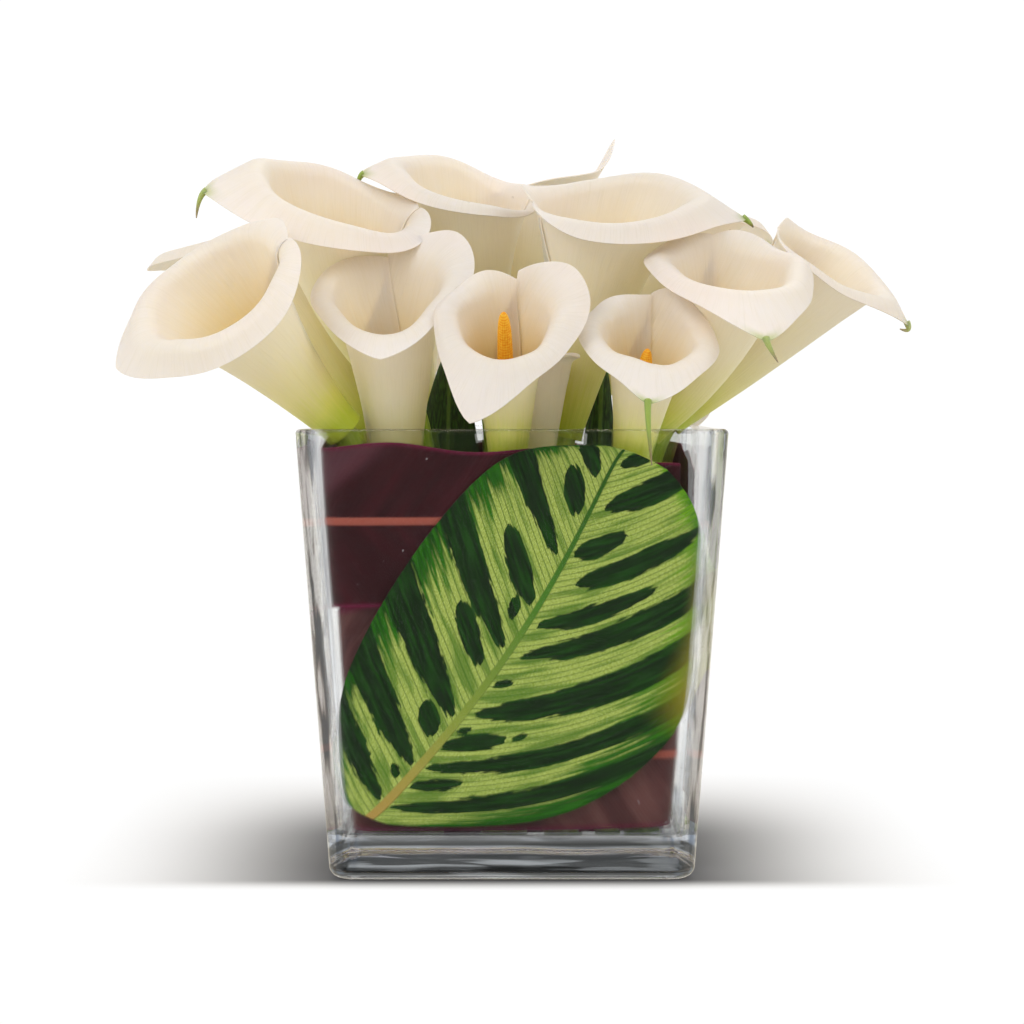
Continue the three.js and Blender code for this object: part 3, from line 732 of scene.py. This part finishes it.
callas = [
    {"head": (-62.5, -54, 162), "foot": (-49.5, -38), "from": (46, 205), "to": (50, 234),
     "beakTurn": -44, "tube": 69, "lip": 17, "beak": 3, "flare": 21, "roll": (116, 142, 100),
     "ruffle": 1.1, "tail": (0, 0, 0, 0.0), "wrap": 1.5},
    {"head": (-41.5, -45.5, 138), "foot": (-29, -44), "from": (1, 150), "to": (22, -102),
     "beakTurn": 10, "tube": 74, "lip": 10.5, "beak": 10, "slant": 0, "dip": 0.2, "pinch": 0.2,
     "flare": 12, "ear": 9, "spadix": 50, "ruffle": 1.0, "tail": (0, 0, 0, 0.0), "wrap": 1.4},
    {"head": (-2, -54.5, 152), "foot": (-6, -48), "from": (2, -90), "to": (57, -92), "beakTurn": -14,
     "tube": 52, "lip": 11, "beak": 18, "flare": 12.5, "ear": 10, "spadix": 57, "ruffle": 0.9,
     "tail": (0, 0, 0, 0.0)},
    {"head": (42, -56.5, 152), "foot": (34, -48), "from": (11, -16), "to": (41, -85), "beakTurn": -7,
     "tube": 45, "lip": 11, "beak": 12, "dip": 0.08, "flare": 16, "spadix": 38, "ruffle": 1.7,
     "tail": (17, 0.8, -0.1, 0.9)},
    {"head": (-41.5, -3.6, 174), "foot": (-38, -9), "from": (41, 190), "to": (29, -60),
     "beakTurn": -104, "tube": 78, "lip": 17, "beak": 8, "slant": 0.1, "ruffle": 1.2,
     "tail": (7, 1.1, 0.3, 0.8)},
    {"head": (-54, 18, 160), "foot": (-47, 12), "from": (36, 172), "to": (26, 178), "beakTurn": 0,
     "tube": 84, "lip": 12, "beak": 2, "slant": 0.15, "tail": (0, 0, 0, 0.0)},
    {"head": (-9, 24.8, 173), "foot": (-7, 22), "from": (14, 172), "to": (24, -76), "beakTurn": -95,
     "tube": 80, "lip": 12, "beak": 7, "slant": 0.1, "flare": 15, "ruffle": 1.2,
     "tail": (5, 0.9, 0.9, 0.9)},
    {"head": (20, -10, 160), "foot": (16, -9), "from": (12, 8), "to": (23, -68), "beakTurn": 75,
     "tube": 86, "lip": 16, "beak": 8, "slant": 0.1, "flare": 18, "ruffle": 1.2,
     "tail": (7, 0.2, 0.1, 0.9)},
    {"head": (51, -35, 162), "foot": (45, -31), "from": (45, -8), "to": (25, -91), "beakTurn": 12,
     "tube": 66, "lip": 13, "beak": 17, "dip": 0.08, "flare": 17, "ruffle": 1.1,
     "tail": (6, 0.9, -0.6, 0.8)},
    {"head": (61.5, 0, 165), "foot": (50, 0), "from": (50, 2), "to": (42, -34), "beakTurn": 25,
     "tube": 80, "lip": 10, "beak": 8, "slant": 0.06, "flare": 12, "ruffle": 1.1,
     "tail": (10, 0.7, -0.1, 0.7), "hook": 1.5},
    {"head": (24, 50, 164), "foot": (21, 45), "from": (33, 12), "to": (22, 20), "beakTurn": 0,
     "tube": 90, "lip": 11, "beak": 8, "slant": 0.12, "flare": 14},
    {"head": (57.5, 24, 169), "foot": (45, 21), "from": (38, 8), "to": (30, 8), "beakTurn": 0,
     "tube": 70, "lip": 9, "beak": 6, "slant": 0.16, "flare": 11},
    {"head": (53, 55, 148), "foot": (46, 50), "from": (12, 40), "to": (35, 47), "beakTurn": 0,
     "tube": 27, "lip": 9, "beak": 5, "flare": 16, "tail": (0, 0, 0, 0.0)},
    {"head": (-38, 50, 156), "foot": (-32, 42), "from": (18, 110), "to": (56, 110), "beakTurn": 0,
     "tube": 56, "lip": 14, "beak": 10},
    {"head": (4, 54.3, 180), "foot": (-1, 47.6), "from": (5, 90), "to": (7, 100), "beakTurn": -94,
     "tube": 66, "lip": 13, "beak": 17, "slant": 0.1, "flare": 21, "roll": (24, 80, 40), "ruffle": 1.3,
     "tail": (0, 0, 0, 0.0)},
    {"head": (6, -34, 138), "foot": (1, -28), "from": (2, 0), "to": (8, -60), "beakTurn": 0, "tube": 46,
     "lip": 5, "beak": 4, "flare": 7, "tail": (0, 0, 0, 0.0)},
]


# the direction that leans from upright towards an angle from +X, both in degrees
def leaning(lean, turn):
    lean, turn = radians(lean), radians(turn)
    return np.array([np.sin(lean) * np.cos(turn), np.sin(lean) * np.sin(turn), np.cos(lean)])


# The head's own frame: its third axis along the tube's foot and its first on the side it bends
# to. bend is the whole angle that the tube turns, and beak the beak's angle round it.
def headPose(calla):
    start, end = leaning(*calla["from"]), leaning(*calla["to"])
    bend = np.arccos(np.clip(start @ end, -1, 1))
    binormal = unit(np.cross(start, end))
    outward = np.cross(binormal, end)
    low = unit(end * end[2] - np.array([0, 0, 1]))
    beak = np.arctan2(low @ binormal, low @ outward) + radians(calla["beakTurn"])
    return {"basis": np.stack([np.cross(binormal, start), binormal, start]), "bend": bend, "beak": beak}


# The point a along the tube, r from its middle line and theta round it from the beak. The
# middle line is an arc up to the mouth and straight beyond it.
def aroundTube(calla, a, r, theta):
    pose = calla["pose"]
    length = calla["tube"] * spathe["bendingShare"]
    turned = pose["bend"] * np.clip(a, 0, length) / length
    radius = length / pose["bend"]
    straight = np.where(a < 0, a, np.maximum(a - length, 0))
    out = r * np.cos(theta + pose["beak"])
    local = np.stack([
        radius * (1 - np.cos(turned)) + straight * np.sin(turned) + out * np.cos(turned),
        r * np.sin(theta + pose["beak"]),
        radius * np.sin(turned) + straight * np.cos(turned) - out * np.sin(turned),
    ], -1)
    return local @ pose["basis"] + np.array(calla["head"])


# The spathe is one leaf wrapped into a funnel: w runs from margin to margin, 0 at the beak, and
# q from foot to rim. The profile's slope is added up along its length: upright in the collar,
# opening along the tube, then rolling outwards at the lip. The margins overlap on a spiral, and
# small waves loosen the rim. reach is the length from the foot in mm, and rise the same as a
# share of the tube.
def spatheShape(calla, phase):
    w = np.linspace(-1, 1, spathe["columns"])[:, None]
    q = (1 - (1 - np.linspace(0, 1, spathe["rows"])) ** 1.3)[None, :]
    side = np.abs(w)
    dip = calla["dip"] * np.exp(-(w / spathe["dipWidth"]) ** 2)
    tube = calla["tube"] * (1 + calla["slant"] * np.cos(pi * w) - dip)
    lip = calla["lip"] * (1 - (1 - spathe["marginLip"]) * side ** 4)
    atEar = np.exp(-((w - ear["at"]) / ear["width"]) ** 2)
    lip = lip + calla["beak"] * np.exp(-(side / spathe["beakWidth"]) ** 1.3) + calla["ear"] * atEar
    beakRoll, sideRoll, marginRoll = calla["roll"]
    roll = lerp(lerp(beakRoll, sideRoll, eased(side, 0, 0.38)), marginRoll, eased(side, 0.6, 1))
    roll = lerp(roll, ear["roll"], atEar * min(1, calla["ear"] / 10))
    whole = spathe["collar"] + tube + lip
    steps = spathe["steps"]
    s = (np.arange(steps) + 0.5) / steps * whole - spathe["collar"]
    opening = lerp(spathe["footFlare"], calla["flare"], s / tube)
    rolling = lerp(calla["flare"], roll, np.clip((s - tube) / spathe["lipTurn"], 0, 1))
    slope = np.radians(np.where(s < 0, 0, np.where(s < tube, opening, rolling)))
    zero = np.zeros_like(w)
    step = whole / steps
    aAll = np.concatenate([zero, np.cumsum(np.cos(slope) * step, axis=1)], 1) - spathe["collar"]
    rAll = np.concatenate([zero, np.cumsum(np.sin(slope) * step, axis=1)], 1) + footRadius
    below = np.minimum((q * steps).astype(int), steps - 1)[0]
    part = q * steps - below
    a = lerp(aAll[:, below], aAll[:, below + 1], part)
    r = lerp(rAll[:, below], rAll[:, below + 1], part)
    reach = whole * q
    openness = eased(reach, 0.5 * tube, whole)
    wrap = lerp(spathe["footWrap"], calla["wrap"], eased(w, 0.3, 1))
    theta = w * pi * lerp(wrap, 1, openness)
    r = r * (1 + calla["pinch"] * openness * np.maximum(0, 1 - 2 * side) ** 2)
    loosening = lerp(1, spathe["mouthSpiral"], eased(reach, 0.2 * tube, 0.7 * tube))
    r = r + spathe["spiral"] * theta / (2 * pi) * loosening
    onLip = eased(reach - spathe["collar"] - 0.8 * tube, 0, lip)
    wave = np.sin(3 * theta + phase) + 0.6 * np.sin(7 * theta + 2.3 * phase)
    r = r + calla["ruffle"] * onLip * wave * 0.5
    a = a + calla["ruffle"] * onLip * np.sin(4 * theta + 1.7 * phase) * 0.6
    points = aroundTube(calla, a, r, theta)
    rise = (reach - spathe["collar"]) / (tube + 0 * q)
    green = calla["tail"][3] * np.exp(-(w / 0.035) ** 2) * eased(q, 0.955, 1.0)
    marks = {
        "rise": rise,
        "green": green,
        "tone": calla["tone"] + 0 * rise,
    }
    flow = np.stack([w * 0.5 + 0.5 + 0 * q, reach / 100], -1)
    thickness = lerp(spathe["thickness"], spathe["edge"], eased(rise, 0.5, 1.1))
    return [closedSheet(points, thickness, flow, marks)] + tailShape(calla, points)


# The tail at the beak: a thread that leaves the tip along the leaf and bends down, sideways and
# back with the square of its length, thinning from where it starts to a point.
def tailShape(calla, points):
    length, down, sideways, greenness = calla["tail"]
    if not length:
        return []
    middle = len(points) // 2
    tip = points[middle, -1]
    ahead = unit(tip - points[middle, -5])
    aside = unit(np.cross(ahead, [0, 0, 1.0]))
    t = np.linspace(0, 1, 28)[:, None]
    bent = ahead * (t - calla["hook"] * t ** 2) + (aside * sideways - np.array([0, 0, 1.0]) * down) * t ** 2
    path = tip - ahead * 1.5 + bent * length
    radius = 1.15 * (1 - t[:, 0]) ** 0.7 + 0.16
    marks = {
        "tail": 0.15 + 0.85 * t,
        "green": greenness + 0 * t,
        "rise": 1.2 + 0 * t,
        "tone": calla["tone"] + 0 * t,
    }
    return [tubeAlong(path, radius, 14, marks)]


# the stalk's middle line: a cubic curve that leaves the vase's floor upright and meets the head
# in the head's own direction
def stalkPath(calla, count):
    head = np.array(calla["head"], dtype=float)
    foot = np.array([*calla["foot"], stalk["footZ"]])
    lift = np.array([0, 0, (head[2] - foot[2]) / 3])
    t = np.linspace(0, 1, count)[:, None]
    lower, upper = foot + lift, head - leaning(*calla["from"]) * stalk["topBend"]
    return (1 - t) ** 3 * foot + 3 * (1 - t) ** 2 * t * lower + 3 * (1 - t) * t ** 2 * upper + t ** 3 * head


# The spadix: rings along the tube's middle line that taper and round off at the tip, with
# grains as the product of two waves that run round it in opposite spirals.
def spadixShape(calla):
    share = np.concatenate([np.linspace(0, 0.9, 110), np.linspace(0.905, 0.998, 22)])[:, None]
    angle = (np.arange(44) * 2 * pi / 44)[None, :]
    taper = spadix["radius"] * lerp(1, spadix["tipShare"], share) * np.sqrt(1 - share ** 10)
    grains = np.sin(9 * angle + 150 * share) * np.sin(9 * angle - 150 * share)
    r = taper + 0.16 * grains * np.sqrt(1 - share ** 10)
    a = spadix["start"] + share * calla["spadix"] + 0 * angle
    rings = aroundTube(calla, a, r, angle)
    ends = [aroundTube(calla, np.array(x), 0.0, 0.0) for x in
            (spadix["start"], spadix["start"] + calla["spadix"])]
    return loft(rings, *ends, {"grain": grains})


# Petal: outside, the stalk's green gives way to cream and then to ivory up the tube; inside, an
# olive gold throat pales to cream and to a white lip with a breath of pink. Fine lines run
# along it, and a few brown flecks lie on it. The mark green turns the beak's tip and the tail
# green, and the mark tail browns the tail towards its end.
def petalFinish():
    finish = Finish("callaPetal")
    across, along, _ = finish.parts(finish.flow())
    place = finish.place()
    rise = finish.mark("rise")
    inner = finish.mark("inner")
    cloud = finish.noise(place, 38.0, 2.0) - 0.5
    streak = finish.noise(finish.vector(across * 3.0, along * 0.12, finish.mark("tone")), 34.0, 3.0) - 0.5
    height = rise + cloud * 0.16 + streak * 0.12
    outside = finish.ramp(height * 0.8, [
        (0.0, tint(0.76, 0.83, 0.24)), (0.10, tint(0.91, 0.91, 0.44)), (0.24, tint(0.98, 0.94, 0.66)),
        (0.46, tint(0.99, 0.945, 0.80)), (0.78, tint(0.99, 0.95, 0.88)), (1.0, tint(1.0, 0.96, 0.925))])
    inside = finish.ramp(height * 0.8, [
        (0.0, tint(0.86, 0.77, 0.32)), (0.28, tint(0.92, 0.80, 0.50)), (0.52, tint(0.95, 0.85, 0.67)),
        (0.74, tint(0.98, 0.92, 0.83)), (1.0, tint(1.0, 0.955, 0.92))])
    body = finish.mix(inner, outside, inside)
    blush = finish.eased(rise, 0.92, 1.12) * finish.eased(cloud, -0.1, 0.35)
    body = finish.mix(blush * 0.28, body, tint(0.96, 0.84, 0.80))
    lines = finish.noise(finish.vector(across * 3.0, along * 0.05, finish.mark("tone")), 150.0, 1.0) - 0.5
    body = finish.mix(finish.eased(lines, -0.05, 0.3) * 0.10, body, tint(0.80, 0.74, 0.56))
    fleck = finish.node("TexVoronoi", {"feature": "F1"}, {"Vector": place, "Scale": 70.0})
    chance = finish.noise(place, 90.0, 0.0)
    flecks = (1 - finish.eased(fleck, 0.05, 0.09)) * finish.eased(chance, 0.66, 0.70)
    body = finish.mix(flecks * 0.6, body, tint(0.55, 0.42, 0.22))
    tail = finish.mark("tail")
    green = finish.mix(finish.eased(tail, 0.55, 1.0), tint(0.52, 0.66, 0.12), tint(0.34, 0.27, 0.12))
    body = finish.mix(finish.mark("green"), body, green)
    relief = lines * 0.5 + streak * 0.6 + finish.noise(place, 420.0, 2.0) * 0.25
    shader = finish.surface({
        "Base Color": body,
        "Roughness": 0.42 + cloud * 0.15,
        "Specular IOR Level": 0.35,
        "Subsurface Weight": 0.5,
        "Subsurface Radius": (1.0, 0.80, 0.52),
        "Subsurface Scale": 0.005,
        "Sheen Weight": 0.08,
        "Normal": finish.bump(relief, 0.0002),
    })
    return finish.done(shader)


# stalk: fresh green, darker and lighter in long streaks, paler towards the head
def stalkFinish():
    finish = Finish("callaStalk")
    around, along, _ = finish.parts(finish.flow())
    streak = finish.noise(finish.vector(around * 2.0, along * 0.25, finish.mark("tone")), 22.0, 2.0)
    low = finish.mix(finish.eased(streak, 0.3, 0.7), tint(0.42, 0.60, 0.06), tint(0.62, 0.75, 0.16))
    high = finish.mix(finish.eased(streak, 0.3, 0.7), tint(0.58, 0.70, 0.12), tint(0.76, 0.80, 0.34))
    body = finish.mix(finish.eased(along, 0.75, 1.0), low, high)
    shader = finish.surface({
        "Base Color": body,
        "Roughness": 0.30 + streak * 0.15,
        "Subsurface Weight": 0.15,
        "Subsurface Radius": (0.6, 1.0, 0.2),
        "Subsurface Scale": 0.002,
        "Normal": finish.bump(streak, 0.0003),
    })
    return finish.done(shader)


# spadix: golden yellow, deeper between its grains
def spadixFinish():
    finish = Finish("goldenSpadix")
    place = finish.place()
    grain = finish.mark("grain")
    pollen = finish.noise(place, 900.0, 2.0)
    height = grain * 0.5 + pollen
    body = finish.mix(finish.eased(height, 0.1, 1.0), tint(0.94, 0.60, 0.05), tint(1.0, 0.82, 0.24))
    shader = finish.surface({
        "Base Color": body,
        "Roughness": 0.75 - pollen * 0.15,
        "Subsurface Weight": 0.15,
        "Subsurface Radius": (1.0, 0.6, 0.2),
        "Subsurface Scale": 0.001,
        "Normal": finish.bump(pollen, 0.0003),
    })
    return finish.done(shader)


petal, stalkGreen, golden = petalFinish(), stalkFinish(), spadixFinish()
for number, own in enumerate(callas, 1):
    calla = {**usualCalla, **own, "tone": seeded.uniform(0, 9)}
    calla["pose"] = headPose(calla)
    phase = seeded.uniform(0, 2 * pi)
    node, name = f"calla_{number:02d}", f"calla{number:02d}"
    addPiece(name + "Spathe", joined(spatheShape(calla, phase)), petal, node + "_spathe")
    addPiece(name + "Spadix", spadixShape(calla), golden, node + "_spadix")
    ribbed = stalk["radius"] * (1 + 0.015 * np.sin(5 * np.arange(28) * 2 * pi / 28))[None, :]
    stalkTube = tubeAlong(stalkPath(calla, 60), np.broadcast_to(ribbed, (60, 28)), 28,
                          {"tone": np.full((60, 1), calla["tone"])})
    addPiece(name + "Stalk", stalkTube, stalkGreen, node + "_stem")
print("callas made:", len(callas))


# ---- floor, light and camera

studio = {
    "floorSize": 12.0,
    "below": (0.90, 0.83, 0.68),  # warm light from under, and whiter from level and above
    "horizon": (0.92, 0.89, 0.81),
    "overhead": (0.72, 0.70, 0.68),
    "frontShare": 0.08,  # how much of it the glass and the leaves mirror from in front
    "glow": 1.02,
    # the grey of the shadow painted into the floor under and beside the vase
    "paintedShadowGrey": (0.33, 0.33, 0.34),
    "paintedShadowSide": (0.050, 0.165),  # where the painted shadow starts to fade and where it ends
    "paintedShadowFront": (-0.082, -0.062),
    "paintedShadowBack": (0.02, 0.20),
}
lamps = {
    "keyLamp": {"place": (-0.9, -1.2, 1.1), "size": 0.9, "power": 8.0, "colour": (1.0, 0.985, 0.96)},
    "fillLamp": {"place": (1.2, -0.9, 1.2), "size": 1.0, "power": 5.0, "colour": (1.0, 0.99, 0.975)},
    "backLamp": {"place": (0.3, 1.3, 1.6), "size": 1.0, "power": 2.5, "colour": (1.0, 1.0, 1.0)},
}
camera = {"distance": 0.95, "height": 0.170, "down": 2.54, "lens": 88.57}


# A flat floor far larger than the view: an even white glow, but for a painted shadow, a grey pool under
# and beside the vase that fades out sideways and backwards and stops short in front of it.
def makeFloor():
    half = studio["floorSize"] / 2
    mesh = bpy.data.meshes.new("paleFloor")
    corners = [(-half, -half, 0), (half, -half, 0), (half, half, 0), (-half, half, 0)]
    mesh.from_pydata(corners, [], [(0, 1, 2, 3)])
    finish = Finish("paleFloor")
    x, y, _ = finish.parts(finish.place())
    # painted shadow: a grey pool under and beside the vase, mixed into the floor's colour
    aside = 1 - finish.eased(abs(x), *studio["paintedShadowSide"])
    paintedShadow = aside * finish.eased(y, *studio["paintedShadowFront"]) * (1 - finish.eased(y, *studio["paintedShadowBack"]))
    shade = finish.mix(paintedShadow, tint(0.97, 0.97, 0.97), tint(*studio["paintedShadowGrey"]))
    matt = finish.surface({"Base Color": shade, "Roughness": 0.6, "Specular IOR Level": 0.2})
    glow = finish.node("Emission", {}, {"Color": (1.0, 1.0, 1.0, 1.0), "Strength": studio["glow"]})
    mesh.materials.append(finish.done(finish.node("MixShader", {}, {0: paintedShadow ** 0.5, 1: glow, 2: matt})))
    floor = bpy.data.objects.new("paleFloor", mesh)
    floor.visible_glossy = False  # so that the glass doesn't mirror it over the leaves
    floor.visible_diffuse = False  # and so that it doesn't light the flowers' undersides white
    scene.collection.objects.link(floor)


# The studio: white to the eye, and to everything else a soft light that is warm from below,
# strongest from level and a little weaker overhead. Glossy rays meet next to nothing in front.
def makeStudio():
    world = bpy.data.worlds.new("studio")
    scene.world = world
    finish = Finish("studio", world)
    _, y, z = finish.parts(finish.node("TexCoord", output="Generated"))
    levels = [(0.44, studio["below"]), (0.50, studio["horizon"]), (0.85, studio["overhead"])]
    light = finish.ramp(z * 0.5 + 0.5, [(place, (*level, 1.0)) for place, level in levels])
    front = finish.eased(y * -1.0, 0.25, 0.75) * (1 - finish.eased(z, 0.25, 0.7))
    front = front * finish.node("LightPath", output="Is Glossy Ray")
    soft = finish.node("Background", {}, {"Color": light,
                                          "Strength": 1 - front * (1 - studio["frontShare"])})
    white = finish.node("Background", {}, {"Color": (1.0, 1.0, 1.0, 1.0), "Strength": 1.05})
    seen = finish.node("LightPath", output="Is Camera Ray")
    finish.done(finish.node("MixShader", {}, {0: seen, 1: soft, 2: white}), "World")


# a soft square lamp at a place, facing a point above the floor's middle
def addLamp(name, place, size, power, colour):
    lamp = bpy.data.lights.new(name, "AREA")
    lamp.shape = "SQUARE"
    lamp.size = size
    lamp.energy = power
    lamp.color = colour
    holder = bpy.data.objects.new(name, lamp)
    holder.location = place
    aim = np.array([0, 0, 0.15]) - np.array(place)
    holder.rotation_euler = (np.arctan2(np.hypot(aim[0], aim[1]), -aim[2]), 0, np.arctan2(-aim[0], aim[1]))
    scene.collection.objects.link(holder)


makeFloor()
makeStudio()
for name, values in lamps.items():
    addLamp(name, **values)

lens = bpy.data.cameras.new("viewer")
lens.lens = camera["lens"]
viewer = bpy.data.objects.new("viewer", lens)
viewer.location = (0, -camera["distance"], camera["height"])
viewer.rotation_euler = (radians(90 - camera["down"]), 0, 0)
scene.collection.objects.link(viewer)
scene.camera = viewer
scene.view_settings.view_transform = "Standard"
print("floor, light and camera made")
